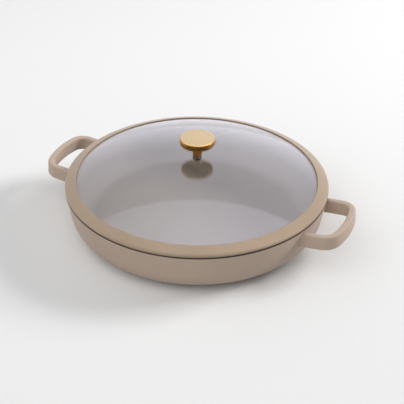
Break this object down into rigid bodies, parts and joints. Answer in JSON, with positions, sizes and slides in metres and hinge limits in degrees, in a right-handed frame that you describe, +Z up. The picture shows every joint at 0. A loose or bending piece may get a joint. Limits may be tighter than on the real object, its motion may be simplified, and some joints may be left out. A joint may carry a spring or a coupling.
{
  "type": "saute pan with lid",
  "caption": "Shallow round saute pan with a leaning wall, two loop handles of flat bar and a domed glass lid in a broad ring, with a disc knob on a tapered stem.",
  "frame": {"origin": "centre of the base's underside, on the table", "axes": "+Z up, out of the bowl; +X towards one loop handle; +Y along the plain side"},
  "size_m": [0.3958, 0.3198, 0.118],
  "materials": {
    "taupe_coat": "satin taupe coating over cast aluminium",
    "ring_silicone": "matte taupe silicone",
    "clear_glass": "clear tempered glass",
    "gold_metal": "satin gold, fine turned marks",
    "black_silicone": "matte black silicone",
    "base_steel": "brushed stainless steel",
    "fastener_steel": "plain stainless steel"
  },
  "bodies": {
    "pan": {"pan_body": "taupe_coat", "base_plate": "base_steel", "handle_left": "taupe_coat", "handle_right": "taupe_coat"},
    "lid": {"lid_glass": "clear_glass", "lid_ring": "ring_silicone", "knob_head": "gold_metal", "knob_stem": "gold_metal", "top_gasket": "black_silicone", "low_gasket": "black_silicone", "steel_washer": "fastener_steel", "spring_washer": "fastener_steel", "knob_screw": "fastener_steel"}
  },
  "joints": [
    {"name": "lid_lift", "type": "slide", "parent": "pan", "child": "lid", "axis": [0, 0, 1], "range_m": [0, 0.15]}
  ]
}
